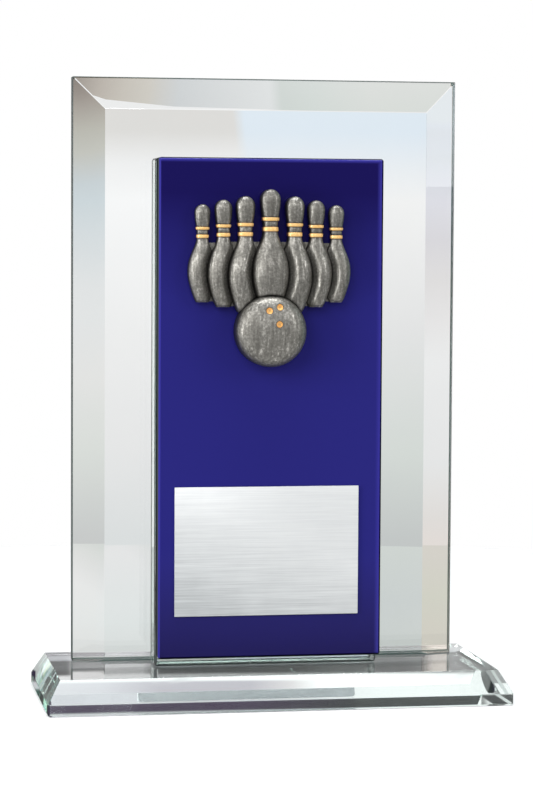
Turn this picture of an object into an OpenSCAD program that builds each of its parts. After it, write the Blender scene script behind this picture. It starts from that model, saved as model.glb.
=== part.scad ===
// Glass bowling trophy: a bevelled glass plate standing on a bevelled glass base, with a thick
// clear block and a blue glass panel bonded to its front. The panel carries a cast relief of seven
// pins and a ball, and a brushed engraving plate.
// +X is the trophy's right as seen from the front, -Y is the front and +Z is up.
// The origin is the middle of the footprint, on the surface the trophy stands on.

/* [Base slab] */
// Width of the base across its foot
base_w = 180; // [172:1:240]
// Depth of the base across its foot
base_d = 76; // [62:1:110]
// Height of the straight band round the foot
base_band_h = 4.6; // [3:0.1:10]
// Height of the sloping bevel above the band
base_bevel_h = 8.6; // [5:0.1:16]
// How far the bevel leans in from the foot
base_bevel_in = 5; // [2:0.1:9]

/* [Underside label] */
// Width of the blank label
label_w = 88; // [40:1:90]
// Depth of the blank label
label_d = 14; // [8:1:18]
// Thickness of the label's paper
label_t = 0.12; // [0.08:0.01:0.3]
// Gap round the label in the shallow pocket that lets it lie flush
label_gap = 0.15; // [0.05:0.05:0.5]
// Distance from the base's back edge to the label
label_back = 4; // [3:0.5:20]
// How far the label's centre lies to the right of the base's centre
label_x = -5; // [-30:1:30]

/* [Upright plate] */
// Width of the plate
plate_w = 152.4; // [127:0.2:160]
// Height of the plate
plate_h = 228.6; // [190:0.2:280]
// Thickness of the plate
plate_t = 10; // [8:0.5:14]
// Width of the bevel along the two sides and the top
plate_bevel_w = 12.3; // [6:0.1:18]
// Depth that the bevel takes off the front face
plate_bevel_t = 3; // [1:0.1:5]

/* [Centre block] */
// Width of the clear block and of the blue panel on it
block_w = 87.5; // [80:0.5:106]
// Thickness of the clear block
block_t = 15; // [8:0.5:18]
// How far the block's centre lies to the right of the plate's centre
block_x = -2; // [-6:0.5:6]

/* [Blue panel] */
// Drop from the plate's top edge to the top of the block and the blue panel
panel_drop = 31.5; // [14:0.5:40]
// Thickness of the blue panel
panel_t = 8; // [4:0.5:10]
// Clear strip of the block left showing below the blue panel
panel_lift = 4.2; // [2:0.1:10]
// Width of the polished edge chamfer on every glass piece
arris = 0.7; // [0.3:0.1:1]

/* [Engraving plate] */
// Width of the engraving plate
tag_w = 72; // [50:0.5:78]
// Height of the engraving plate
tag_h = 50; // [30:0.5:60]
// Thickness of the engraving plate
tag_t = 0.8; // [0.5:0.1:1.5]
// Height of the engraving plate's lower edge above the panel's lower edge
tag_lift = 16.5; // [8:0.5:30]
// How far the engraving plate and the emblem lie to the right of the panel's centre
face_x = -1.5; // [-3:0.1:3]

/* [Emblem] */
// Height of the head pin
head_pin_h = 46.5; // [38:0.5:56]
// Girth of the pins against a regulation pin
girth = 0.95; // [0.85:0.01:1.05]
// Gap from the panel's top edge to the head pin's tip
emblem_drop = 12; // [6:0.5:20]
// Radius of the ball
ball_r = 13.7; // [11:0.1:17]
// Height of the ball's domed face above its straight side
ball_rise = 6.5; // [5:0.1:9]
// Gap between neighbouring castings
seam = 0.2; // [0.1:0.05:0.4]
// Thickness of the emblem's flat backing
backing_t = 1.6; // [1:0.1:3]
// How far the backing stops short of the castings' outline
backing_inset = 0.3; // [0.2:0.05:0.6]
// How far each painted neck band stands out from the pin
band_out = 0.3; // [0.2:0.05:0.5]

/* [Adhesives] */
// Thickness of each ultraviolet-cured glass bond
bond_t = 0.1; // [0.05:0.01:0.3]
// Thickness of the tape behind the engraving plate
tape_t = 0.15; // [0.1:0.01:0.3]
// Thickness of the foam pad behind the emblem
foam_t = 0.4; // [0.2:0.1:1]
// How far each glass bond stops short of the polished chamfers round it
bond_margin = 0.3; // [0.1:0.1:2]
// How far the tape and the foam stop short of the pieces they hold
pad_margin = 2; // [1:0.1:4]

/* [Hidden] */
side_fn = 96;

base_top = base_band_h + base_bevel_h;
foot_z = base_top + bond_t;
bond_inset = arris + bond_margin;

stack_t = plate_t + bond_t + block_t + bond_t + panel_t;
plate_back_y = stack_t / 2;
plate_front_y = plate_back_y - plate_t;
block_back_y = plate_front_y - bond_t;
block_front_y = block_back_y - block_t;
panel_back_y = block_front_y - bond_t;
panel_front_y = panel_back_y - panel_t;

panel_z = foot_z + panel_lift;
panel_top = foot_z + plate_h - panel_drop;
panel_h = panel_top - panel_z;
block_h = panel_top - foot_z;
face_cx = block_x + face_x;

backing_back_y = panel_front_y - foam_t;
backing_front_y = backing_back_y - backing_t;

// A regulation pin as shares of its height: [height, diameter] from the foot to the widest part
// of the head, which ends in a round top of the same diameter.
PIN = [[0, 0.135], [0.05, 0.188], [0.15, 0.260], [0.225, 0.301], [0.30, 0.318], [0.392, 0.304],
       [0.483, 0.247], [0.575, 0.165], [0.625, 0.131], [0.667, 0.120], [0.725, 0.125],
       [0.783, 0.140], [0.842, 0.160], [0.90, 0.1698]];
HEAD_R = PIN[len(PIN) - 1][1] / 2;
SPANS_CUT = 3;
HEAD_CUT = 8;

// The ranks of pins, from the head pin outwards: height as a share of the head pin's, distance
// from the head pin's axis and height of the foot above the head pin's, both in pin heights, and
// the level at which the rounded face starts above the backing.
RANK_H = [1, 0.953, 0.88, 0.802];
RANK_X = [0, 0.206, 0.387, 0.559];
RANK_FOOT = [0, -0.011, 0.032, 0.071];
RANK_LEVEL = [3.6, 2.8, 2.0, 1.2];
sink = 2;
// The web between the pins reaches this share of each pin's height, just past the shoulders.
web_share = 0.6;
// Comfortably more than the emblem's depth.
crest_room = 14;

// Painted bands, as shares of the pin's height from the foot.
BANDS = [[0.650, 0.695], [0.735, 0.773]];

head_foot_z = panel_top - emblem_drop - head_pin_h;
ball_drop = 0.165 * head_pin_h;
ball_z = head_foot_z - ball_drop;
ball_level = 5.5;
cup_r = 1.2;
cup_depth = 1.2;
cup_wall = 0.3;
// The finger holes' places on the ball, in ball radii right and up from its centre.
CUPS = [[-0.12, 0.61], [0.20, 0.72], [0.17, 0.22]];

// ---- Shared shapes ----

// Extrudes a drawing made in X and Z along Y, from y0 forwards to y1.
module front_view(y0, y1) {
    translate([0, y0, 0]) rotate([90, 0, 0]) linear_extrude(y0 - y1) children();
}

// Extrudes a drawing made in Y and Z along X, over a width w about the middle.
module side_view(w) {
    rotate([90, 0, 90]) translate([0, 0, -w / 2]) linear_extrude(w) children();
}

// A rectangle with its corner at the origin and each corner cut at 45 degrees by c.
module cut_rect(w, h, c) {
    polygon([[c, 0], [w - c, 0], [w, c], [w, h - c], [w - c, h], [c, h], [0, h - c], [0, c]]);
}

// A glass slab of width w, height h and thickness t, with an arris on every edge. Its foot is at
// z = 0, its back at y = 0 and its middle at x = 0.
module slab(w, h, t) {
    intersection() {
        front_view(0, -t) translate([-w / 2, 0]) cut_rect(w, h, arris);
        side_view(w) translate([-t, 0]) cut_rect(t, h, arris);
        linear_extrude(h) translate([-w / 2, -t]) cut_rect(w, t, arris);
    }
}

// ---- Base ----

module base_section(w) {
    polygon([[-w / 2 + arris, 0], [w / 2 - arris, 0], [w / 2, arris], [w / 2, base_band_h],
        [w / 2 - base_bevel_in, base_band_h + base_bevel_h],
        [-w / 2 + base_bevel_in, base_band_h + base_bevel_h],
        [-w / 2, base_band_h], [-w / 2, arris]]);
}

// A sheet under the base, larger than the label by gap all round and going from z0 up to the
// label's top.
module label_sheet(gap, z0) {
    translate([label_x - label_w / 2 - gap, base_d / 2 - label_back - label_d - gap, z0])
        cube([label_w + 2 * gap, label_d + 2 * gap, label_t - z0]);
}

module base_slab() {
    color([0.86, 0.93, 0.90, 0.5]) difference() {
        intersection() {
            front_view(base_d / 2, -base_d / 2) base_section(base_w);
            side_view(base_w) base_section(base_d);
            linear_extrude(base_top) translate([-base_w / 2, -base_d / 2])
                cut_rect(base_w, base_d, arris);
        }
        label_sheet(label_gap, -1);
    }
}

module underside_label() {
    color("ivory") label_sheet(0, 0);
}

// ---- Upright glass ----

// The plate's outline seen from above: full thickness in the middle, bevelled at both sides.
module plate_plan() {
    w = plate_w / 2;
    polygon([[-w + arris, 0], [w - arris, 0], [w, -arris], [w, -plate_t + plate_bevel_t],
        [w - plate_bevel_w, -plate_t], [-w + plate_bevel_w, -plate_t],
        [-w, -plate_t + plate_bevel_t], [-w, -arris]]);
}

// The plate's outline seen from the side: bevelled at the top only.
module plate_profile() {
    polygon([[-arris, 0], [0, arris], [0, plate_h - arris], [-arris, plate_h],
        [-plate_t + plate_bevel_t, plate_h], [-plate_t, plate_h - plate_bevel_w],
        [-plate_t, arris], [-plate_t + arris, 0]]);
}

module upright_plate() {
    color([0.82, 0.90, 0.90, 0.45]) translate([0, plate_back_y, foot_z]) intersection() {
        linear_extrude(plate_h) plate_plan();
        side_view(plate_w) plate_profile();
    }
}

module centre_block() {
    color([0.90, 0.95, 0.93, 0.5]) translate([block_x, block_back_y, foot_z])
        slab(block_w, block_h, block_t);
}

module blue_panel() {
    color([0.13, 0.11, 0.42]) translate([block_x, panel_back_y, panel_z])
        slab(block_w, panel_h, panel_t);
}

// ---- Bonds between the glass pieces ----

module bond_color() {
    color([0.96, 0.97, 0.92, 0.5]) children();
}

module plate_base_bond() {
    i = bond_inset;
    w = plate_w / 2;
    bond_color() translate([0, plate_back_y, base_top]) linear_extrude(bond_t)
        polygon([[-w + i, -i], [w - i, -i], [w - i, -plate_t + plate_bevel_t + i],
            [w - plate_bevel_w, -plate_t + i], [-w + plate_bevel_w, -plate_t + i],
            [-w + i, -plate_t + plate_bevel_t + i]]);
}

module block_base_bond() {
    bond_color()
        translate([block_x - block_w / 2 + bond_inset, block_front_y + bond_inset, base_top])
            cube([block_w - 2 * bond_inset, block_t - 2 * bond_inset, bond_t]);
}

// A bond between two upright faces, with its front at y and its foot at z.
module upright_bond(y, z) {
    bond_color() translate([block_x - block_w / 2 + bond_inset, y, z + bond_inset])
        cube([block_w - 2 * bond_inset, bond_t, panel_top - z - 2 * bond_inset]);
}

module plate_block_bond() {
    upright_bond(block_back_y, foot_z);
}

module panel_block_bond() {
    upright_bond(panel_back_y, panel_z);
}

// ---- Engraving plate ----

// A rectangle on the panel's face, smaller than the engraving plate by inset all round.
module tag_sheet(inset, y, t) {
    translate([face_cx - tag_w / 2 + inset, y - t, panel_z + tag_lift + inset])
        cube([tag_w - 2 * inset, t, tag_h - 2 * inset]);
}

module engraving_tape() {
    color("whitesmoke") tag_sheet(pad_margin, panel_front_y, tape_t);
}

module engraving_plate() {
    color([0.80, 0.82, 0.83]) tag_sheet(0, panel_front_y - tape_t, tag_t);
}

// ---- Pins ----

// A smooth curve through the points of PIN, at a share u of the way along span i.
function pin_at(i, u) =
    let (p0 = PIN[max(i - 1, 0)], p1 = PIN[i], p2 = PIN[i + 1], p3 = PIN[min(i + 2, len(PIN) - 1)])
    (2 * p1 + (p2 - p0) * u + (2 * p0 - 5 * p1 + 4 * p2 - p3) * u * u
        + (3 * p1 - p0 - 3 * p2 + p3) * u * u * u) / 2;

// The outline of a pin of height h as [half width, height] points from its foot to just below its
// tip, made wider by grow.
function pin_outline(h, grow = 0) = concat(
    [for (i = [0 : len(PIN) - 2], j = [0 : SPANS_CUT - 1])
        let (p = pin_at(i, j / SPANS_CUT)) [p[1] / 2 * girth * h + grow, p[0] * h]],
    [for (k = [0 : HEAD_CUT - 1])
        let (a = 90 * k / HEAD_CUT)
        [HEAD_R * girth * h * cos(a) + grow, h * (1 - HEAD_R) + HEAD_R * h * sin(a)]]);

// The pin's whole outline as a drawing in X and Z.
module pin_face(h, grow = 0) {
    side = pin_outline(h, grow);
    mirrored = [for (i = [len(side) - 1 : -1 : 0]) [-side[i][0], side[i][1]]];
    polygon(concat(side, [[0, h + grow]], mirrored));
}

// The turned shape whose front is the pin's rounded face. Its axis lies sink behind the level
// where that face starts, so it crosses that level on the pin's outline.
module pin_turning(h, grow = 0) {
    side = pin_outline(h, grow);
    rotate_extrude($fn = side_fn) polygon(concat([[0, 0]],
        [for (p = side) [sqrt(p[0] * p[0] + sink * sink), p[1]]],
        [[sink, h + grow], [0, h + grow]]));
}

// The solid body of a pin with its foot at z = 0 and its axis at x = 0, standing on the backing:
// a straight side up to its level and a rounded face in front.
module pin_body(rank, grow = 0) {
    h = head_pin_h * RANK_H[rank];
    axis_y = backing_front_y - RANK_LEVEL[rank] + sink;
    wide = 2 * h;
    intersection() {
        front_view(backing_front_y, backing_front_y - crest_room) pin_face(h, grow);
        union() {
            translate([0, axis_y, 0]) pin_turning(h, grow);
            translate([-wide / 2, axis_y, -1]) cube([wide, crest_room, 2 * h]);
        }
    }
}

function rank_x(side, rank) = face_cx + side * RANK_X[rank] * head_pin_h;
function rank_z(rank) = head_foot_z + RANK_FOOT[rank] * head_pin_h;

// Puts a drawing or solid at a pin's place.
module at_pin(side, rank) {
    translate([rank_x(side, rank), 0, rank_z(rank)]) children();
}

// The room that the castings in front of a pin take: the next pin inwards, and the ball.
module room_in_front(side, rank) {
    near = panel_front_y;
    far = near - 2 * crest_room;
    if (rank > 0)
        front_view(near, far) translate([rank_x(side, rank - 1), rank_z(rank - 1)])
            pin_face(head_pin_h * RANK_H[rank - 1], seam);
    front_view(near, far) translate([face_cx, ball_z])
        circle(r = ball_r + seam, $fn = side_fn);
}

module pewter() {
    color([0.50, 0.50, 0.48]) children();
}

module pin(side, rank) {
    pewter() difference() {
        at_pin(side, rank) pin_body(rank);
        room_in_front(side, rank);
    }
}

// Two bands round a pin's neck, seated on the pin and reaching back to the backing.
module pin_bands(side, rank) {
    h = head_pin_h * RANK_H[rank];
    width = 2 * h;
    color([0.90, 0.66, 0.30]) at_pin(side, rank) difference() {
        intersection() {
            pin_body(rank, band_out);
            for (b = BANDS)
                translate([-width / 2, backing_front_y - 2 * crest_room, b[0] * h])
                    cube([width, 2 * crest_room, (b[1] - b[0]) * h]);
        }
        pin_body(rank);
    }
}

// ---- Backing, foam and ball ----

// Height of the web between the pins of one rank, above their feet.
function web_height(rank) = head_pin_h * RANK_H[rank] * web_share;

// The outline of the flat backing: the pins' and the ball's own outlines, a little smaller, with a
// web across each rank of pins.
module backing_face() {
    for (side = [-1, 1], rank = [0 : 3])
        translate([rank_x(side, rank), rank_z(rank) + backing_inset])
            pin_face(head_pin_h * RANK_H[rank] - 2 * backing_inset, -backing_inset);
    for (rank = [1 : 3])
        translate([rank_x(-1, rank), rank_z(rank) + backing_inset])
            square([2 * RANK_X[rank] * head_pin_h, web_height(rank)]);
    translate([face_cx, ball_z]) circle(r = ball_r - backing_inset, $fn = side_fn);
}

module emblem_backing() {
    pewter() front_view(backing_back_y, backing_front_y) backing_face();
}

// A foam strip behind the pins and a foam disc behind the ball, clear of each other.
module emblem_foam() {
    strip_w = 2 * RANK_X[2] * head_pin_h;
    strip_z = rank_z(3) + pad_margin;
    disc_r = ball_r - 3 * pad_margin;
    color("whitesmoke") front_view(panel_front_y, backing_back_y) {
        translate([face_cx - strip_w / 2, strip_z]) square([strip_w, web_height(3) - 2 * pad_margin]);
        translate([face_cx, ball_z]) circle(r = disc_r, $fn = side_fn);
    }
}

// The sphere whose cap is the ball's domed face.
dome_r = (ball_r * ball_r + ball_rise * ball_rise) / (2 * ball_rise);
dome_y = backing_front_y - ball_level - ball_rise + dome_r;

module ball_blank() {
    intersection() {
        translate([face_cx, dome_y, ball_z]) rotate([90, 0, 0]) sphere(r = dome_r, $fn = side_fn);
        translate([face_cx, backing_front_y, ball_z]) rotate([90, 0, 0])
            cylinder(r = ball_r, h = crest_room * 2, $fn = side_fn);
    }
}

// Puts children on the ball's face at one finger hole, with +Z along the face's outward normal.
module at_cup(cup) {
    across = cup[0] * ball_r;
    up = cup[1] * ball_r;
    lean = asin(sqrt(across * across + up * up) / dome_r);
    translate([face_cx, dome_y, ball_z]) rotate([90, 0, 0]) rotate([0, 0, atan2(up, across)])
        rotate([0, lean, 0]) translate([0, 0, dome_r]) children();
}

module bowling_ball() {
    pewter() difference() {
        ball_blank();
        for (cup = CUPS)
            at_cup(cup) translate([0, 0, -cup_depth])
                cylinder(r = cup_r, h = 2 * cup_depth, $fn = side_fn);
    }
}

// Painted cups that line the finger holes, a little below the ball's face.
module finger_hole_cups() {
    cup_h = cup_depth * 0.8;
    color([0.90, 0.62, 0.28]) for (cup = CUPS)
        at_cup(cup) translate([0, 0, -cup_depth]) difference() {
            cylinder(r = cup_r, h = cup_h, $fn = side_fn);
            translate([0, 0, cup_wall]) cylinder(r = cup_r - cup_wall, h = cup_depth, $fn = side_fn);
        }
}

// ---- Assembly ----

base_slab();
underside_label();
plate_base_bond();
upright_plate();
block_base_bond();
plate_block_bond();
centre_block();
panel_block_bond();
blue_panel();
engraving_tape();
engraving_plate();
emblem_foam();
emblem_backing();
pin(1, 0);  // head_pin
pin(-1, 1);  // left_pin_1
pin(-1, 2);  // left_pin_2
pin(-1, 3);  // left_pin_3
pin(1, 1);  // right_pin_1
pin(1, 2);  // right_pin_2
pin(1, 3);  // right_pin_3
pin_bands(1, 0);  // head_pin_bands
pin_bands(-1, 1);  // left_pin_1_bands
pin_bands(-1, 2);  // left_pin_2_bands
pin_bands(-1, 3);  // left_pin_3_bands
pin_bands(1, 1);  // right_pin_1_bands
pin_bands(1, 2);  // right_pin_2_bands
pin_bands(1, 3);  // right_pin_3_bands
bowling_ball();
finger_hole_cups();
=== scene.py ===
# %% [markdown]
# # A glass bowling trophy
#
# A bevelled glass plate stands on a bevelled glass slab. A thick clear block and a deep blue
# panel are bonded to its front, and the blue panel carries a cast pewter relief of seven pins
# and a ball, and a brushed plate for engraving.
#
# The solids were designed in CAD and arrive here already packed. This lesson dresses them. The
# glass pieces are copies of their CAD meshes with polished edges. The relief, the engraving
# plate, the label and the adhesive films get finer meshes that stand in for the plain CAD
# solids, and the backing, the foam and the tape keep their own.

# %% Load the packed model
import math
import random

import bmesh
import bpy
from mathutils import Matrix, Vector
from mathutils.geometry import delaunay_2d_cdt


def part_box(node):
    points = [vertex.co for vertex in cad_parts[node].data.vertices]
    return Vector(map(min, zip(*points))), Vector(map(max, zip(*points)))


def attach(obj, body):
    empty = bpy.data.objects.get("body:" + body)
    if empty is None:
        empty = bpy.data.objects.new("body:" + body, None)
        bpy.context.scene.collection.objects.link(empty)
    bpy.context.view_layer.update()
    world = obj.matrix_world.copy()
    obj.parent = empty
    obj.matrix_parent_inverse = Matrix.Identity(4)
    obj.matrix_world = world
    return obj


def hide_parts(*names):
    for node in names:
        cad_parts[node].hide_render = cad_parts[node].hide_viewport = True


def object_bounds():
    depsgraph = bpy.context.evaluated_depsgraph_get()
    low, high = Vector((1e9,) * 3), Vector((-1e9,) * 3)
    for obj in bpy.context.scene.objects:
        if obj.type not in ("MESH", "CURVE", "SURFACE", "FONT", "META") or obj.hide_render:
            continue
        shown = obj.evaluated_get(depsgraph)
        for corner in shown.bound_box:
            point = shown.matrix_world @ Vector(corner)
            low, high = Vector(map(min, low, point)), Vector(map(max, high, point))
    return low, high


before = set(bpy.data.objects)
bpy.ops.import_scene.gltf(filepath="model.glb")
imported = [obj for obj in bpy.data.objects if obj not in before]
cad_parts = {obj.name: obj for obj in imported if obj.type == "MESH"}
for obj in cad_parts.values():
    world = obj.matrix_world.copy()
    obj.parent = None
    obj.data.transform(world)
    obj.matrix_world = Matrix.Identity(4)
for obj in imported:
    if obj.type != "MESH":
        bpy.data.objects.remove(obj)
cad_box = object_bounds()
MM = 0.001
print("CAD box in mm:", [[round(c / MM, 1) for c in corner] for corner in cad_box])

# %% [markdown]
# ## Camera
#
# A long lens from about a metre away keeps the upright edges nearly parallel, as product
# pictures do. The camera stands to the left of the trophy at about three quarters of its
# height, turned a little to the right and tipped slightly down.

# %% Place the camera
CAMERA_AT = Vector((-0.17654, -1.00406, 0.18174))
TURN_RIGHT = math.radians(9.92)
TIP_DOWN = math.radians(3.67)
ROLL = math.radians(0.32)
LENS_MM = 117.28


def camera_axes(turn, tip, roll):
    """The camera's right, up and forward directions."""
    forward = Vector((
        math.sin(turn) * math.cos(tip),
        math.cos(turn) * math.cos(tip),
        -math.sin(tip),
    ))
    level_right = Vector((math.cos(turn), -math.sin(turn), 0))
    level_up = level_right.cross(forward)
    right = level_right * math.cos(roll) + level_up * math.sin(roll)
    up = level_up * math.cos(roll) - level_right * math.sin(roll)
    return right, up, forward


right, up, forward = camera_axes(TURN_RIGHT, TIP_DOWN, ROLL)
camera = bpy.data.objects.new("studio_camera", bpy.data.cameras.new("studio_camera"))
camera.matrix_world = Matrix.Translation(CAMERA_AT) @ Matrix(
    (right, up, -forward)
).transposed().to_4x4()
camera.data.lens = LENS_MM
camera.data.clip_start, camera.data.clip_end = 0.01, 50
bpy.context.scene.collection.objects.link(camera)
bpy.context.scene.camera = camera
print("camera looks along", [round(c, 3) for c in forward])

# %% [markdown]
# ## Small helpers
#
# Every mesh below is written in millimetres and turned into metres in one place. A piece then
# says which CAD node it stands for, which finish it takes and which body it rides on. This
# trophy has no moving joints, so everything rides on the one body. Two more helpers build what
# several meshes need: points spaced round a circle, and a slab between two outlines.

# %% Helpers for making pieces
SOFT_EDGE = math.radians(38)


def make_piece(name, mesh_builder, nodes, material, smooth=True):
    """Turns a bmesh in millimetres into a finished piece that replaces the given CAD nodes."""
    mesh = bpy.data.meshes.new(name)
    bmesh.ops.recalc_face_normals(mesh_builder, faces=mesh_builder.faces)
    mesh_builder.to_mesh(mesh)
    mesh_builder.free()
    mesh.transform(Matrix.Scale(MM, 4))
    if smooth:
        mesh.shade_smooth()
        mesh.set_sharp_from_angle(angle=SOFT_EDGE)
    mesh.materials.append(material)
    piece = bpy.data.objects.new(name, mesh)
    bpy.context.scene.collection.objects.link(piece)
    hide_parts(*nodes)
    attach(piece, "root")
    return piece


def box_mm(node):
    """A CAD node's lowest and highest corner, in millimetres."""
    low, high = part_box(node)
    return low / MM, high / MM


def dress(node, material):
    """Gives a CAD node a material of its own, in place of the plain imported one."""
    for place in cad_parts[node].material_slots:
        place.material = material


def circle(x, z, radius, count, shift=0.0):
    """Points spaced evenly round a circle, the first one shift of a space along."""
    angles = [2 * math.pi * (k + shift) / count for k in range(count)]
    return [(x + radius * math.cos(a), z + radius * math.sin(a)) for a in angles]


def join_rings(made, first, second):
    """Faces all the way round between two rings of as many vertices."""
    for k in range(len(first)):
        n = (k + 1) % len(first)
        made.faces.new((first[k], first[n], second[n], second[k]))


def slab(first, second):
    """A closed slab between two outlines of as many points."""
    made = bmesh.new()
    rings = [[made.verts.new(point) for point in outline] for outline in (first, second)]
    for ring in rings:
        made.faces.new(ring)
    join_rings(made, *rings)
    return made


print("helpers ready for", len(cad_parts), "CAD nodes")

# %% [markdown]
# ## Short ways to write a shader
#
# A finish is a web of small nodes that compare values, mix colours and follow curves. `Nodes`
# gives each of those one short name, and takes plain numbers and colours as well as sockets. A
# `Finish` is such a web that ends in a material's Principled shader.

# %% Nodes by short names
def rgba(colour):
    """A colour's four numbers, from a grey or from three of them."""
    return (colour,) * 3 + (1,) if isinstance(colour, (int, float)) else (*colour, 1)


class Nodes:
    """A node tree with short ways to add to it."""

    def __init__(self, tree):
        self.tree = tree

    def feed(self, socket, value):
        """Links a socket, or sets its number or colour."""
        if isinstance(value, bpy.types.NodeSocket):
            self.tree.links.new(value, socket)
        else:
            socket.default_value = rgba(value) if socket.type == "RGBA" else value

    def add(self, kind, inputs=(), **settings):
        """Adds a node, sets its properties and feeds the inputs given by name or number."""
        node = self.tree.nodes.new(kind)
        for key, value in settings.items():
            setattr(node, key, value)
        for key, value in dict(inputs).items():
            self.feed(node.inputs[key], value)
        return node

    def math(self, operation, *values, clamp=False):
        return self.add("ShaderNodeMath", enumerate(values), operation=operation,
                        use_clamp=clamp).outputs[0]

    def chain(self, operation, first, *others):
        """One operation over all of the values in turn."""
        for other in others:
            first = self.math(operation, first, other)
        return first

    def times(self, *values):
        return self.chain("MULTIPLY", *values)

    def most(self, *values):
        return self.chain("MAXIMUM", *values)

    def size(self, value):
        """A value without its sign."""
        return self.math("ABSOLUTE", value)

    def less(self, value, limit):
        """1 where the value is below the limit, and 0 elsewhere."""
        return self.math("LESS_THAN", value, limit)

    def more(self, value, limit):
        """1 where the value is above the limit, and 0 elsewhere."""
        return self.math("GREATER_THAN", value, limit)

    def mix(self, factor, first, second, blend="MIX"):
        """From the first colour to the second."""
        return self.add("ShaderNodeMix", {0: factor, 6: first, 7: second}, data_type="RGBA",
                        blend_type=blend).outputs[2]

    def tint(self, colour, by):
        return self.mix(1.0, colour, by, "MULTIPLY")

    def remap(self, value, low, high, to_low=0.0, to_high=1.0):
        """A value stretched from low..high to to_low..to_high and kept inside them."""
        return self.add("ShaderNodeMapRange", {
            "Value": value, "From Min": low, "From Max": high,
            "To Min": to_low, "To Max": to_high}).outputs["Result"]

    def ramp(self, value, low, high, stops):
        """A colour ramp over low..high from (place, grey or colour) stops."""
        node = self.add("ShaderNodeValToRGB", {"Fac": self.remap(value, low, high)})
        elements = node.color_ramp.elements
        while len(elements) < len(stops):
            elements.new(0.5)
        for element, (place, colour) in zip(elements, stops):
            element.position = (place - low) / (high - low)
            element.color = rgba(colour)
        return node.outputs["Color"]

    def noise(self, vector, **inputs):
        """A noise between 0 and 1."""
        return self.add("ShaderNodeTexNoise", {"Vector": vector, **inputs}).outputs["Fac"]

    def axes(self, vector):
        """A vector's X, Y and Z."""
        return tuple(self.add("ShaderNodeSeparateXYZ", {"Vector": vector}).outputs)

    def facing(self):
        """The X, Y and Z of the way a face points, whatever its shading or bump says."""
        return self.axes(self.add("ShaderNodeNewGeometry").outputs["True Normal"])

    def camera_ray(self):
        return self.add("ShaderNodeLightPath").outputs["Is Camera Ray"]


print("short names:", [name for name in dir(Nodes) if not name.startswith("_")])


# %% A finish is nodes that end in a shader
class Finish(Nodes):
    """A material with a Principled shader, and the piece's own coordinates as its place."""

    def __init__(self, name):
        self.material = bpy.data.materials.new(name)
        self.material.use_nodes = True
        super().__init__(self.material.node_tree)
        kinds = {node.type: node for node in self.tree.nodes}
        self.shader, self.output = kinds["BSDF_PRINCIPLED"], kinds["OUTPUT_MATERIAL"]
        self.place = self.add("ShaderNodeTexCoord").outputs["Object"]

    def use(self, group, **inputs):
        """Lays a shared effect over the piece and returns the effect's outputs."""
        return self.add("ShaderNodeGroup", {"Vector": self.place, **inputs},
                        node_tree=group).outputs

    def shade(self, **inputs):
        """Feeds the shader. An underscore stands for a space in an input's name."""
        for label, value in inputs.items():
            self.feed(self.shader.inputs[label.replace("_", " ")], value)

    def bump(self, height, strength, distance):
        """Feeds a bump of the given depth in metres into the shader."""
        node = self.add("ShaderNodeBump", {
            "Height": height, "Strength": strength, "Distance": distance})
        self.shade(Normal=node.outputs["Normal"])


print("a finish adds:", [name for name in vars(Finish) if not name.startswith("_")])

# %% [markdown]
# ## Effects that several finishes share
#
# Real surfaces are never one flat value. Three small node groups give that life, and each finish
# uses them at its own scale: `soft_mottle` drifts slowly between two colours, `fine_lines` makes
# the parallel marks of brushing or of a mould, and `handling_marks` gives faint smudges to
# polished faces. A group is built once and its inputs are set wherever it is used.

# %% A helper that starts a shader node group
COLOUR, VALUE, VECTOR = "NodeSocketColor", "NodeSocketFloat", "NodeSocketVector"


def new_group(name, inputs, outputs):
    """An empty shader node group with named sockets. inputs holds (name, kind, default)."""
    group = bpy.data.node_groups.new(name, "ShaderNodeTree")
    group.interface.new_socket("Vector", in_out="INPUT", socket_type=VECTOR)
    for label, kind, default in inputs:
        socket = group.interface.new_socket(label, in_out="INPUT", socket_type=kind)
        socket.default_value = default
    for label, kind in outputs:
        group.interface.new_socket(label, in_out="OUTPUT", socket_type=kind)
    made = Nodes(group)
    return made, made.add("NodeGroupInput").outputs, made.add("NodeGroupOutput").inputs


print("groups take", COLOUR, VALUE, "and", VECTOR)


# %% The three shared effects
def build_soft_mottle():
    """A slow drift between two colours, with the same drift as a plain value."""
    made, given, out = new_group("soft_mottle", [
        ("Scale", VALUE, 60.0), ("Detail", VALUE, 4.0),
        ("Light", COLOUR, (1, 1, 1, 1)), ("Dark", COLOUR, (0.5, 0.5, 0.5, 1)),
    ], [("Color", COLOUR), ("Value", VALUE)])
    cloud = made.noise(given["Vector"], Scale=given["Scale"], Detail=given["Detail"],
                       Roughness=0.62)
    drift = made.remap(cloud, 0.34, 0.68)
    made.feed(out["Color"], made.mix(drift, given["Dark"], given["Light"]))
    made.feed(out["Value"], drift)
    return made.tree


def build_fine_lines():
    """Parallel hair lines. Stretch is how much finer they are along each axis."""
    made, given, out = new_group("fine_lines", [
        ("Stretch", VECTOR, (1, 1, 1)), ("Scale", VALUE, 400.0), ("Breaks", VALUE, 0.3),
    ], [("Value", VALUE)])
    stretched = made.add("ShaderNodeVectorMath", {0: given["Vector"], 1: given["Stretch"]},
                         operation="MULTIPLY").outputs[0]
    lines = made.noise(stretched, Scale=given["Scale"], Detail=3.0, Roughness=0.6)
    breaks = made.times(made.noise(given["Vector"], Scale=90.0, Detail=2.0), given["Breaks"])
    broken = made.math("SUBTRACT", lines, breaks, clamp=True)
    made.feed(out["Value"], made.remap(broken, 0.15, 0.65))
    return made.tree


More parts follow.
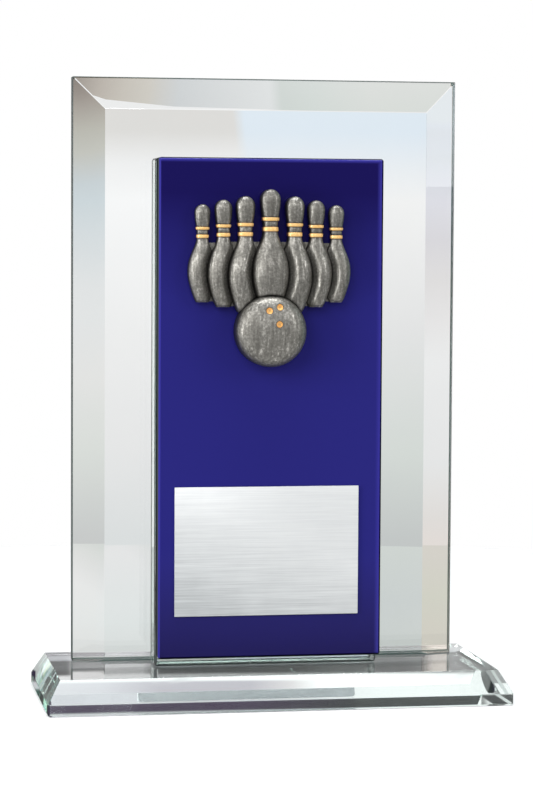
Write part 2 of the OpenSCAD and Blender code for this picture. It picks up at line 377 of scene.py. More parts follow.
def build_handling_marks():
    """Faint smudges, as a roughness for polished faces."""
    made, given, out = new_group("handling_marks", [
        ("Clean", VALUE, 0.0), ("Smudged", VALUE, 0.05),
    ], [("Roughness", VALUE)])
    patches = made.noise(given["Vector"], Scale=22.0, Detail=5.0, Roughness=0.55,
                         Distortion=0.4)
    span = made.math("SUBTRACT", given["Smudged"], given["Clean"])
    made.feed(out["Roughness"], made.math(
        "MULTIPLY_ADD", made.remap(patches, 0.56, 0.74), span, given["Clean"]))
    return made.tree


soft_mottle = build_soft_mottle()
fine_lines = build_fine_lines()
handling_marks = build_handling_marks()
print("shared effects:", [group.name for group in bpy.data.node_groups])

# %% [markdown]
# ## Clear glass
#
# The plate, the block and the base are ordinary clear glass. Two things make glass look like
# glass here. Each surface passes a little less light than it receives, which gives the faces
# their soft grey, and the body of the glass takes a little red out of the light, so long paths
# inside the base come out green. The first is the shader's own colour, and the second is an
# absorbing volume.
#
# Each piece is then worked in its own way, mostly with painted light. The plate's bevels carry
# painted tints in place of what they bend in from the room: painted shade, dark and smoky, at the
# top left corner, warm and dim down the right side, and a bright painted highlight as a wedge
# along the top. Its outer edges are ground, so they are rough, and they are painted dark as
# shade. The block has ground arrises, also painted dark, and strips of painted shade down its
# sides that show at a glancing angle. The base's left end carries fine coloured streaks painted
# in place of the light that it splits. A face is told apart by the way it points.

# %% Measures of the clear glass
CLEAR_IOR = 1.52
GLASS_GREEN = (0.35, 0.92, 0.70)
GROUND_ROUGHNESS = 0.55
PLATE_BEVEL = 0.0123
# how nearly a face looks straight along an axis: 1 is straight
FLAT_FACE, BEVEL_FACE, SQUARE_FACE = 0.99, 0.93, 0.97
plate_low, plate_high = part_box("upright_plate")
block_low, block_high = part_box("centre_block")
print("bevel of", PLATE_BEVEL / MM, "mm round the plate")


# %% The plate's bevels with painted light, and its ground edges painted dark
def painted_bevel_light(made, colour):
    """The plate: painted refraction and highlights on its bevels, and the colour and place of its
    ground outer edges, which are painted dark.
    """
    x, _, z = made.axes(made.place)
    face_x, face_y, face_z = made.facing()
    turned = made.size(face_y)
    corner = (plate_low.x, plate_low.y, plate_high.z)
    away = made.add("ShaderNodeVectorMath", {0: made.place, 1: corner},
                    operation="DISTANCE").outputs["Value"]
    # painted shade and refraction: dark and smoky at the top left corner, bright further off
    painted_corner_shade = made.ramp(away, 0, 0.12, [
        (0.0, (0.13, 0.105, 0.085)), (0.012, (0.38, 0.32, 0.26)), (0.020, (0.50, 0.44, 0.36)),
        (0.030, (0.60, 0.55, 0.46)), (0.042, (0.62, 0.66, 0.68)), (0.095, (0.97, 1.0, 1.0)),
        (0.118, (1.12, 1.08, 1.08)),
    ])
    # painted refraction of the room down the left bevel
    left_painted_refraction = made.ramp(z, 0.15, 0.25, [
        (0.16, 1.0), (0.194, (0.74, 0.85, 0.90)), (0.2215, (0.85, 0.75, 0.62)),
        (0.235, (0.63, 0.49, 0.41)),
    ])
    # painted refraction down the right bevel, warm low down and dimmer higher up
    right_painted_refraction = made.ramp(z, 0, 0.25, [
        (0.020, (1.30, 0.92, 0.76)), (0.036, (1.35, 1.00, 0.78)), (0.052, (1.20, 0.94, 0.84)),
        (0.068, (1.04, 0.92, 0.86)), (0.09, 1.0), (0.131, 1.0), (0.147, (0.86, 0.83, 0.83)),
        (0.163, (0.69, 0.66, 0.66)), (0.179, (0.56, 0.54, 0.59)), (0.195, (0.58, 0.58, 0.67)),
        (0.211, (0.58, 0.64, 0.72)), (0.227, (0.84, 0.98, 1.20)),
    ])
    # the upper line of the painted highlight wedge, as centimetres above the bevel's inner edge
    wedge_top = made.ramp(x, -0.08, 0.02, [
        (-0.0705, 0.56), (-0.0635, 0.34), (-0.037, 0.10), (0.0, 0.04), (0.018, 0.0),
    ])
    above_inner_edge = made.times(made.math("SUBTRACT", z, plate_high.z - PLATE_BEVEL), 100.0)
    # painted highlight: a bright wedge along the top bevel
    painted_highlight_wedge = made.times(made.less(above_inner_edge, wedge_top), made.more(face_z, 0.1))
    # painted highlight on the mitres where the bevels meet
    painted_mitre_highlight = made.more(made.math("MINIMUM", made.size(face_x), made.size(face_z)), 0.02)
    # all the painted refractions and highlights put together
    cast = made.mix(made.less(face_x, -0.1), painted_corner_shade, made.tint(painted_corner_shade, left_painted_refraction))
    cast = made.mix(painted_highlight_wedge, cast, (2.05, 2.05, 2.0))
    cast = made.mix(made.more(face_x, 0.1), cast, right_painted_refraction)
    cast = made.mix(painted_mitre_highlight, cast, (1.3, 1.3, 1.25))
    bevel = made.times(made.more(turned, BEVEL_FACE), made.less(turned, FLAT_FACE))
    # the ground outer edges are rough, and their colour is painted dark as shade
    edge = made.less(turned, BEVEL_FACE)
    colour = made.mix(bevel, colour, made.tint(colour, cast))
    return made.mix(edge, colour, (0.018, 0.038, 0.033)), edge


print("the bevel's inner edge is", round((plate_high.z - PLATE_BEVEL) / MM, 1), "mm up")


# %% The block's painted shade and the base's painted streaks of light
def painted_shade_sides(made, colour):
    """The block: ground arrises painted dark, and strips of painted shade on its sides at a
    glancing angle.
    """
    steep = [made.size(part) for part in made.facing()]
    arris = made.less(made.most(*steep), SQUARE_FACE)
    depth = made.axes(made.place)[1]
    # where the painted shade lies across the block's depth
    strips = made.ramp(made.remap(depth, block_low.y, block_high.y), 0, 1, [
        (0.0, 1.0), (0.26, 1.0), (0.30, 0.0), (0.72, 0.0), (0.76, 0.75), (1.0, 0.75),
    ])
    glance = made.add("ShaderNodeLayerWeight", {"Blend": 0.5}).outputs["Facing"]
    on_side = made.more(steep[0], SQUARE_FACE)
    # painted shade down the sides, shown only at a glancing angle
    painted_side_shade = made.times(strips, made.remap(glance, 0.80, 0.86), on_side)
    # the ground arrises are painted dark
    colour = made.mix(arris, colour, (0.006, 0.009, 0.009))
    return made.mix(painted_side_shade, colour, (0.004, 0.006, 0.006)), made.most(arris, painted_side_shade)


def painted_split_light(made, colour):
    """The base: fine coloured streaks painted on the bevel and the end at its left, in place of
    the light that the glass splits. None is ground.
    """
    streaks = made.use(fine_lines, Stretch=(0.02, 1, 0.35), Scale=300.0, Breaks=0.1)["Value"]
    # painted split light in bands of colour
    spread = made.ramp(streaks, 0, 1, [
        (0.30, (0.06, 0.32, 0.32)), (0.44, (0.20, 0.62, 0.55)), (0.50, (0.95, 0.98, 0.94)),
        (0.56, (0.10, 0.38, 0.42)), (0.64, (0.95, 0.98, 0.62)), (0.71, (0.14, 0.50, 0.44)),
        (0.80, (0.92, 0.97, 0.95)), (0.92, (0.18, 0.45, 0.60)),
    ])
    return made.mix(made.less(made.facing()[0], -0.3), colour, spread), 0.0


print("the block is", round((block_high.y - block_low.y) / MM, 1), "mm deep")


# %% Clear glass material
def clear_glass_material(name, tint, green_density, work):
    """Clear glass. work paints light and shade into its colour and says where it is ground."""
    made = Finish(name)
    haze = made.use(soft_mottle, Scale=14.0, Light=tint,
                    Dark=(tint[0] * 0.97, tint[1] * 0.975, tint[2] * 0.98))
    colour, ground = work(made, haze["Color"])
    marks = made.use(handling_marks, Clean=0.0, Smudged=0.035)
    rough = made.most(marks["Roughness"], made.times(ground, GROUND_ROUGHNESS))
    made.shade(Base_Color=colour, Roughness=rough, Transmission_Weight=1.0, IOR=CLEAR_IOR)
    body = made.add("ShaderNodeVolumeAbsorption", {
        "Color": GLASS_GREEN, "Density": green_density})
    made.feed(made.output.inputs["Volume"], body.outputs["Volume"])
    return made.material


plate_glass = clear_glass_material("plate_glass", (0.90, 0.90, 0.90), 1.5, painted_bevel_light)
block_glass = clear_glass_material("block_glass", (0.93, 0.94, 0.935), 2.5, painted_shade_sides)
base_glass = clear_glass_material("base_glass", (0.93, 0.935, 0.94), 1.5, painted_split_light)
print("clear glass ready")

# %% [markdown]
# ## Blue glass
#
# The blue panel is so deep a blue that nothing shows through it. A dark indigo body under a
# polished surface gives that, with painted light that makes it a little brighter in the middle of
# its height, and a slow drift so that it doesn't look printed. Its right and top arrises carry a
# painted highlight and end in a thin dark rim of painted shade, its underside is painted dark as
# shade, and its sides are pale in front and dark towards the back. The rim and the sides don't
# mirror the room.

# %% Blue glass material
# widths of the painted dark rim and of the painted highlights at the right and top
PAINTED_RIM = 0.0007
PAINTED_GLOW_RIGHT, PAINTED_GLOW_TOP = (0.0026, 0.0011), (0.0018, 0.0010)
ARRIS_FACE, SIDE_FACE = 0.95, 0.35


def blue_glass_material():
    made = Finish("indigo_glass")
    low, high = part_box("blue_panel")
    x, y, z = made.axes(made.place)
    _, face_y, face_z = made.facing()
    turned = made.size(face_y)
    # painted light: brighter in the middle of the panel's height
    middle = made.ramp(made.remap(z, low.z, high.z), 0, 1, [
        (0.0, 0.0), (0.08, 0.35), (0.2, 1.0), (0.72, 1.0), (0.86, 0.45), (0.93, 0.0),
    ])
    body = made.mix(middle, (0.0085, 0.0058, 0.085), (0.0200, 0.0185, 0.180))
    # painted highlight on the arrises, and along the right and top
    painted_glow = made.most(made.less(turned, ARRIS_FACE),
                     made.remap(x, *(high.x - inset for inset in PAINTED_GLOW_RIGHT)),
                     made.remap(z, *(high.z - inset for inset in PAINTED_GLOW_TOP)))
    body = made.mix(painted_glow, body, (0.034, 0.030, 0.270))
    # painted shade: a thin dark rim at the right and top, and the underside
    rim = made.most(made.more(x, high.x - PAINTED_RIM), made.more(z, high.z - PAINTED_RIM / 2),
                    made.less(face_z, -0.3))
    body = made.mix(rim, body, (0.003, 0.003, 0.012))
    side = made.ramp(made.remap(y, low.y, high.y), 0, 1, [
        (0.0, (0.058, 0.066, 0.080)), (0.5, (0.055, 0.062, 0.070)),
        (0.6, (0.008, 0.010, 0.010)), (1.0, (0.008, 0.010, 0.010)),
    ])
    on_side = made.less(turned, SIDE_FACE)
    body = made.mix(on_side, body, side)
    drift = made.use(soft_mottle, Scale=9.0, Detail=1.0, Light=1.0, Dark=(0.94, 0.94, 0.95))
    marks = made.use(handling_marks, Clean=0.02, Smudged=0.07)
    made.shade(Base_Color=made.tint(body, drift["Color"]), Roughness=marks["Roughness"],
               Specular_IOR_Level=made.remap(made.most(rim, on_side), 0, 1, 0.12, 0.0))
    return made.material


indigo_glass = blue_glass_material()
print("blue glass ready")

# %% [markdown]
# ## Cured clear adhesive
#
# The glass pieces are joined by thin films of clear adhesive that was cured with ultraviolet
# light. It is nearly invisible where it wets both faces, and shows as a pale wavy line at its
# edge. A mostly transparent shader lets the glass behind it through.

# %% Adhesive material
def mottled_finish(name, light, dark, scale, rough_dark, rough_light):
    """A finish that drifts between two colours and two roughnesses, and the drift itself."""
    made = Finish(name)
    mottle = made.use(soft_mottle, Scale=scale, Light=light, Dark=dark)
    made.shade(Base_Color=mottle["Color"],
               Roughness=made.remap(mottle["Value"], 0, 1, rough_dark, rough_light))
    return made, mottle


adhesive, _ = mottled_finish("cured_adhesive", (0.90, 0.93, 0.86), (0.70, 0.74, 0.66), 120,
                             0.08, 0.2)
adhesive.shade(Alpha=0.07)
cured_adhesive = adhesive.material
print("adhesive ready")

# %% [markdown]
# ## Pewter and gold paint
#
# The relief is cast and then antiqued: a dark wash is left in the recesses and wiped off the high
# parts, which keep a dull silver sheen with fine marks. Each casting's mesh carries a stored
# value, 1 at the bottom of a groove and 0 on open metal, which is also high along the seams and
# round the rims, and the material darkens by it: that is partly the wash and partly painted
# shade. The gold paint is darkened by the same value, as painted shade. The gold paint on the
# neck bands is brushed on by hand, so it is a little uneven.

# %% Pewter and gold materials
def stored_recess(made):
    return made.add("ShaderNodeAttribute", attribute_name="recess").outputs["Fac"]


def pewter_material(name, added_shade):
    """Antiqued pewter. The second value darkens the whole piece, from 0 to 1, as painted shade.
    """
    made = Finish(name)
    cloud = made.use(soft_mottle, Scale=150.0, Detail=3.0, Light=(0.40, 0.389, 0.356),
                     Dark=(0.29, 0.281, 0.256))
    grit = made.use(soft_mottle, Scale=1100.0, Detail=5.0)["Value"]
    strokes = made.use(fine_lines, Stretch=(1, 1, 0.09), Scale=1000.0, Breaks=0.3)["Value"]
    marks = made.math("ADD", made.times(grit, 0.42), made.times(strokes, 0.58))
    worn = made.mix(made.remap(marks, 0.22, 0.70), (0.155, 0.149, 0.134), cloud["Color"])
    shiny = made.mix(made.remap(marks, 0.60, 0.85), worn, (0.62, 0.60, 0.555))
    # the mesh's stored wash and painted shade, and any painted shade given for the whole piece
    wash_and_shade_amount = made.math("MAXIMUM", stored_recess(made), added_shade, clamp=True)
    made.shade(Base_Color=made.mix(wash_and_shade_amount, shiny, (0.016, 0.015, 0.013)), Metallic=0.8,
               Roughness=made.remap(marks, 0.2, 0.8, 0.50, 0.30))
    made.bump(marks, 0.55, 0.00016)
    return made.material


def gold_paint_material():
    made, mottle = mottled_finish("gold_paint", (1.0, 0.68, 0.29), (0.96, 0.54, 0.17), 900,
                                  0.36, 0.24)
    # painted shade in the gold from the stored value: band edges, turned-away sides and the
    # depths of the holes
    made.shade(Base_Color=made.mix(stored_recess(made), mottle["Color"], (0.16, 0.06, 0.02)),
               Metallic=0.2)
    made.bump(mottle["Value"], 0.3, 0.00008)
    return made.material


pewter = pewter_material("antiqued_pewter", 0.0)
# a darker copy for the backing: painted shade behind the pins
dark_pewter = pewter_material("shaded_pewter", 0.12)
gold_paint = gold_paint_material()
print("relief finishes ready")

# %% [markdown]
# ## Brushed aluminium, tape, foam and paper
#
# The engraving plate is brushed from side to side, so its lines run along X and light spreads
# from them up and down. Its colour carries a painted reflection of the lamps, lighter towards the
# top right and darker towards its lower left corner. The tape and foam behind the pieces only
# show as thin edges. The label under the base is plain coated paper, with a slight painted glow
# in place of the light that it catches through the glass.

# %% Brushed and plain materials
def brushed_aluminium_material():
    made = Finish("brushed_aluminium")
    low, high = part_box("engraving_plate")
    x, _, z = made.axes(made.place)
    lines = made.use(fine_lines, Stretch=(0.012, 1, 1), Scale=3200.0, Breaks=0.25)["Value"]
    coarse = made.use(fine_lines, Stretch=(0.02, 1, 1), Scale=900.0, Breaks=0.1)["Value"]
    both = made.mix(0.35, lines, coarse)
    # lit and shaded tones of one brushed metal, mixed by a painted reflection of the lamps
    lit_tone = made.mix(both, (0.68, 0.70, 0.71), (0.87, 0.89, 0.89))
    shaded_tone = made.mix(both, (0.30, 0.32, 0.33), (0.68, 0.71, 0.72))
    # painted reflection: lighter upwards and to the right, darker at the lower left
    painted_sheen = made.math("ADD", made.times(made.remap(z, low.z, high.z), 0.65),
                      made.times(made.remap(x, low.x, high.x), 0.35))
    made.shade(Base_Color=made.mix(made.remap(painted_sheen, 0.05, 0.6), shaded_tone, lit_tone),
               Roughness=made.remap(lines, 0, 1, 0.46, 0.30), Metallic=0.35)
    made.bump(lines, 0.25, 0.00003)
    return made.material


def matte_material(name, light, dark, scale, roughness, painted_glow=0.0):
    """A plain matte stuff with a fine grain, for tape, foam and paper."""
    made, grain = mottled_finish(name, light, dark, scale, roughness, roughness - 0.1)
    made.shade(Emission_Color=(0.93, 0.95, 1.0), Emission_Strength=painted_glow)
    made.bump(grain["Value"], 0.3, 0.00005)
    return made.material


brushed_aluminium = brushed_aluminium_material()
tape_white = matte_material("tape_white", (0.80, 0.80, 0.77), (0.66, 0.66, 0.63), 800, 0.7)
foam_white = matte_material("foam_white", (0.78, 0.78, 0.74), (0.60, 0.60, 0.56), 1500, 0.9)
# the label's glow is painted light, in place of what it catches through the glass
label_paper = matte_material("label_paper", (0.88, 0.89, 0.91), (0.82, 0.83, 0.85), 600, 0.6,
                             painted_glow=0.22)
print("plain finishes ready")

# %% [markdown]
# ## Polishing the glass
#
# The CAD meshes already have the exact bevels and chamfers. Each glass piece starts as a copy
# of its CAD mesh, with the flat faces joined up again, and then every edge gets the tiny double
# bevel that polishing leaves, so that edges catch a thin line of light. The block's arrises are
# ground wider. The faces are shaded flat, because a polished slab only looks like glass if its
# big faces are truly flat.

# %% Polish the glass pieces
POLISH_MM, BLOCK_ARRIS_MM = 0.2, 0.7
FLAT_ANGLE, SHARP_ANGLE = math.radians(1), math.radians(7)
WELD = 1e-6


def polished_mesh(node, width):
    """A copy of a CAD mesh in millimetres, with whole faces and fine bevels on its edges."""
    made = bmesh.new()
    made.from_mesh(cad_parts[node].data)
    bmesh.ops.remove_doubles(made, verts=made.verts, dist=WELD)
    bmesh.ops.scale(made, vec=Vector((1, 1, 1)) / MM, verts=made.verts)
    bmesh.ops.dissolve_limit(made, angle_limit=FLAT_ANGLE, verts=made.verts, edges=made.edges)
    sharp = [edge for edge in made.edges if edge.calc_face_angle(0) > SHARP_ANGLE]
    bmesh.ops.bevel(made, geom=sharp, offset=width, segments=2, profile=0.5, affect="EDGES",
                    clamp_overlap=True)
    return made


for node, name, material, slot, arris in (
    ("base_slab", "polished_base", base_glass, "clear_glass", POLISH_MM),
    ("upright_plate", "polished_plate", plate_glass, "clear_glass", POLISH_MM),
    ("centre_block", "polished_block", block_glass, "clear_glass", BLOCK_ARRIS_MM),
    ("blue_panel", "polished_blue_panel", indigo_glass, "blue_glass", POLISH_MM),
):
    pane = make_piece(name, polished_mesh(node, arris), [node], material, smooth=False)
    print(name, len(pane.data.polygons), "faces")

# %% [markdown]
# ## Pins: the shape
#
# A tenpin's outline is given by a few heights and widths as shares of its height. A smooth curve
# runs through them and a round head closes the top. The relief shows half of each pin: its
# front swells from a straight edge, more in the belly than in the neck.

# %% A pin's outline
PIN_SHAPE = [
    (0, 0.135), (0.05, 0.188), (0.15, 0.260), (0.225, 0.301), (0.30, 0.318), (0.392, 0.304),
    (0.483, 0.247), (0.575, 0.165), (0.625, 0.131), (0.667, 0.120), (0.725, 0.125),
    (0.783, 0.140), (0.842, 0.160), (0.90, 0.1698),
]
GIRTH = 0.95
HEAD = PIN_SHAPE[-1][1] / 2
BANDS = ((0.650, 0.695), (0.735, 0.773))


def smooth_curve(points, at):
    """The second value of a smooth curve through points, where the first value is at."""
    last = len(points) - 2
    i = max(k for k in range(last + 1) if points[k][0] <= at or k == 0)
    x1, y1 = points[i]
    x2, y2 = points[i + 1]
    x0, y0 = points[max(i - 1, 0)]
    x3, y3 = points[min(i + 2, last + 1)]
    slope1 = (y2 - y0) / (x2 - x0)
    slope2 = (y3 - y1) / (x3 - x1)
    span = x2 - x1
    u = (at - x1) / span
    return (
        y1 * (2 * u ** 3 - 3 * u ** 2 + 1) + slope1 * span * (u ** 3 - 2 * u ** 2 + u)
        + y2 * (3 * u ** 2 - 2 * u ** 3) + slope2 * span * (u ** 3 - u ** 2)
    )


def pin_half_width(share):
    """A pin's half width at a share of its height, as a share of its height."""
    share = min(max(share, 0.0), 1.0)
    if share < PIN_SHAPE[-1][0]:
        return smooth_curve(PIN_SHAPE, share) / 2 * GIRTH
    rise = (share - (1 - HEAD)) / HEAD
    return HEAD * GIRTH * math.sqrt(max(1 - max(rise, 0.0) ** 2, 0.0))


print("belly is", round(2 * pin_half_width(0.3), 3), "of the height")

# %% [markdown]
# ## Pins: where they stand
#
# Everything about a pin's place is read from its painted bands in the CAD model: the bands'
# middle gives its axis, and their top and bottom give its height and its foot. The ranks step
# back from the head pin outwards, and each pin is cut by the one in front of it and by the ball.

# %% Read the pins' places from the CAD bands
BACK_Y = box_mm("emblem_backing")[0].y
LEVELS = (3.6, 2.8, 2.0, 1.2)
SEAM, FAR_MM = 0.2, 99.0


def read_pin(name, rank, front):
    """A pin's axis, foot, height and level in millimetres, and the pin in front of it."""
    low, high = box_mm(name + "_bands")
    height = (high.z - low.z) / (BANDS[1][1] - BANDS[0][0])
    return {
        "name": name, "front": front, "x": (low.x + high.x) / 2, "h": height,
        "foot": low.z - BANDS[0][0] * height, "level": LEVELS[rank],
    }


pins = [read_pin("head_pin", 0, None)]
for side in ("left", "right"):
    pin = pins[0]
    for rank in (1, 2, 3):
        pin = read_pin(f"{side}_pin_{rank}", rank, pin)
        pins.append(pin)
ball_low, ball_high = box_mm("bowling_ball")
BALL_X = (ball_low.x + ball_high.x) / 2
BALL_Z = (ball_low.z + ball_high.z) / 2
BALL_R = (ball_high.x - ball_low.x) / 2
for pin in pins:
    print(pin["name"], {k: round(pin[k], 2) for k in ("x", "foot", "h")})


# %% Measures used by the relief's surfaces
def pin_at(pin, z):
    """How far up a pin a height lies, as a share, and the pin's half width there."""
    share = (z - pin["foot"]) / pin["h"]
    return share, pin_half_width(share) * pin["h"]


def gap_to_pin(pin, x, z):
    """How far a point lies outside a pin's outline, sideways, in millimetres."""
    share, half = pin_at(pin, z)
    return abs(x - pin["x"]) - half if -0.1 <= share <= 1 else FAR_MM


def gap_to_ball(x, z):
    return math.hypot(x - BALL_X, z - BALL_Z) - BALL_R


def ease(value):
    """From 0 to 1 with a soft start and a soft end."""
    value = min(max(value, 0.0), 1.0)
    return value * value * (3 - 2 * value)


def close_to(distance, width):
    """1 at no distance, falling away over a width."""
    return math.exp(-(distance / width) ** 2)


print("ball radius", round(BALL_R, 2), "mm")

# %% [markdown]
# ## Pins: the castings
#
# Each pin is a height field. A grid that follows the pin's own outline supplies the points, and
# a constrained triangulation cuts it along the outline of the pin in front and of the ball, so
# the seams are exact. The surface then swells like half a turned pin, sinks towards the seam on
# its inner side, and has a fine groove along each painted band. Straight walls go back to the
# flat backing.

# %% Outlines and the cutting of a face
ROWS, COLUMNS = 150, 29
TOP_SHARE = 0.9995
PIN_CUT_STEPS, BALL_CUT_STEPS = 90, 96
POINT_MERGE = 1e-5


def inside(polygon, x, z):
    """True if the point lies in the polygon, counting crossings of its edges."""
    hit = False
    j = len(polygon) - 1
    for i, (xi, zi) in enumerate(polygon):
        xj, zj = polygon[j]
        if (zi > z) != (zj > z) and x < (xj - xi) * (z - zi) / (zj - zi) + xi:
            hit = not hit
        j = i
    return hit


def pin_grid(pin):
    """Points over a pin's face as rows of (x, z), and its outline as one loop."""
    rows = []
    for i in range(ROWS + 1):
        share = i / ROWS if i < ROWS else TOP_SHARE
        half = pin_half_width(share) * pin["h"]
        z = pin["foot"] + share * pin["h"]
        rows.append([
            (pin["x"] + half * math.sin(math.pi * (j / (COLUMNS - 1) - 0.5)), z)
            for j in range(COLUMNS)
        ])
    left_side = [row[0] for row in rows]
    right_side = [row[-1] for row in rows]
    return rows, rows[0][:-1] + right_side[:-1] + rows[-1][:0:-1] + left_side[:0:-1]


def grown_outline(pin, grow):
    """A pin's outline made wider by grow on both sides and taller by as much."""
    sides = []
    for i in range(PIN_CUT_STEPS + 1):
        share = i / PIN_CUT_STEPS
        half = pin_half_width(share) * pin["h"] + grow * min(1.0, (1 - share) * 30 + 0.4)
        above = grow if i == PIN_CUT_STEPS else 0
        sides.append((half, pin["foot"] + share * pin["h"] + above))
    right_side = [(pin["x"] + half, z) for half, z in sides]
    return right_side + [(pin["x"] - half, z) for half, z in reversed(sides)]


def cut_face(points, loops, keep):
    """Triangles over points, cut along loops, for which keep(x, z) holds at the middle."""
    coords = [Vector(p) for p in points]
    edges = []
    for loop in loops:
        start, count = len(coords), len(loop)
        edges += [(start + i, start + (i + 1) % count) for i in range(count)]
        coords += [Vector(p) for p in loop]
    out_points, _, faces, _, _, _ = delaunay_2d_cdt(coords, edges, [], 0, POINT_MERGE)
    kept = []
    for face in faces:
        x = sum(out_points[i].x for i in face) / len(face)
        z = sum(out_points[i].y for i in face) / len(face)
        if keep(x, z):
            kept.append(face)
    return out_points, kept


print("each pin starts as", (ROWS + 1) * COLUMNS, "points")


# %% Raise a casting from its cut face
def raise_casting(points, faces, height, recess):
    """A bmesh whose front is the height field and whose walls go back to the backing."""
    made = bmesh.new()
    wash_and_shade_layer = made.verts.layers.float.new("recess")
    used = sorted({i for face in faces for i in face})
    front = {}
    for i in used:
        x, z = points[i]
        vertex = made.verts.new((x, BACK_Y - height(x, z), z))
        vertex[wash_and_shade_layer] = recess(x, z)
        front[i] = vertex
    for face in faces:
        made.faces.new([front[i] for i in face])
    rim = [edge for edge in made.edges if len(edge.link_faces) == 1]
    back = {}
    for edge in rim:
        for vertex in edge.verts:
            if vertex not in back:
                below = made.verts.new((vertex.co.x, BACK_Y, vertex.co.z))
                # the walls back to the backing are painted dark as shade
                below[wash_and_shade_layer] = 1.0
                back[vertex] = below
    for edge in rim:
        a, b = edge.verts
        made.faces.new((a, b, back[b], back[a]))
    rim_back = [made.edges.get((back[e.verts[0]], back[e.verts[1]])) for e in rim]
    bmesh.ops.contextual_create(made, geom=rim_back)
    bmesh.ops.triangulate(made, faces=[f for f in made.faces if len(f.verts) > 4])
    return made


print("a casting's walls go back to", round(BACK_Y, 2), "mm")

# %% A pin's swell, grooves, wash and painted shade
SWELL, PRESSED = 0.70, 0.22
SEAM_WIDTH = 3.6
GROOVE_DEPTH, GROOVE_WIDTH = 0.16, 0.20
FOOT_FLAT, FOOT_ROUND_MM = 0.55, 0.8


def band_groove(share, h):
    """How deep the fine grooves beside the bands are, from 0 to 1."""
    return max(close_to((share - edge) * h, GROOVE_WIDTH) for band in BANDS for edge in band)


def pin_height(pin, x, z):
    """Height of a pin's face above the backing."""
    share, half = pin_at(pin, z)
    across = min(abs(x - pin["x"]) / max(half, 1e-6), 1.0)
    dome = SWELL * half * math.sqrt(1 - across * across)
    if pin["front"]:
        away = max(gap_to_pin(pin["front"], x, z), 0.0)
        dome *= PRESSED + (1 - PRESSED) * ease(away / SEAM_WIDTH)
    dome *= FOOT_FLAT + (1 - FOOT_FLAT) * ease(share * pin["h"] / FOOT_ROUND_MM)
    return pin["level"] + dome - GROOVE_DEPTH * band_groove(share, pin["h"])


def pin_recess(pin, x, z):
    """Where a pin darkens: wash and painted shade in its grooves and seams, and painted shade
    along its rim.
    """
    share, half = pin_at(pin, z)
    wash_and_shade_marks = [
        0.85 * band_groove(share, pin["h"]),
        0.8 * close_to(max(gap_to_ball(x, z) - SEAM, 0), 0.5),
        0.8 * close_to(max(half - abs(x - pin["x"]), 0.0), 0.32),
    ]
    if pin["front"]:
        away = max(gap_to_pin(pin["front"], x, z) - SEAM, 0.0)
        wash_and_shade_marks += [0.9 * close_to(away, 0.45), 0.45 * math.exp(-away / 1.5)]
    return max(wash_and_shade_marks)


print("swell of", SWELL, "of a half turning, grooves", GROOVE_DEPTH, "mm deep")


# %% Cast the seven pins
def cast_pin(pin):
    """A pin's face, cut by the pin in front of it and by the ball."""
    rows, outline = pin_grid(pin)
    cutters = [grown_outline(pin["front"], SEAM)] if pin["front"] else []
    loops = [outline, circle(BALL_X, BALL_Z, BALL_R + SEAM, BALL_CUT_STEPS)] + cutters

    def keep(x, z):
        return (inside(outline, x, z) and gap_to_ball(x, z) >= SEAM
                and not any(inside(cutter, x, z) for cutter in cutters))

    inner = [p for row in rows[1:-1] for p in row[1:-1]]
    points, faces = cut_face(inner, loops, keep)
    body = raise_casting(points, faces, lambda x, z: pin_height(pin, x, z),
                         lambda x, z: pin_recess(pin, x, z))
    return make_piece("cast_" + pin["name"], body, [pin["name"]], pewter)


for pin in pins:
    casting = cast_pin(pin)
    print(casting.name, len(casting.data.polygons), "faces")

# %% [markdown]
# ## Painted neck bands
#
# Each band is a low rounded ring laid over the pin's neck. It follows the same swelling surface
# as the pin and stands a little proud of it, with edges that curl down into the grooves. Its
# paint is darkened with painted shade at those edges and where it turns away to the sides.

# %% Paint the bands
BAND_PROUD, PAINT_SUNK = 0.28, 0.12
BAND_INSET, WALL_GAP = 0.0035, 0.02
BAND_ROWS, BAND_COLUMNS = 8, 25


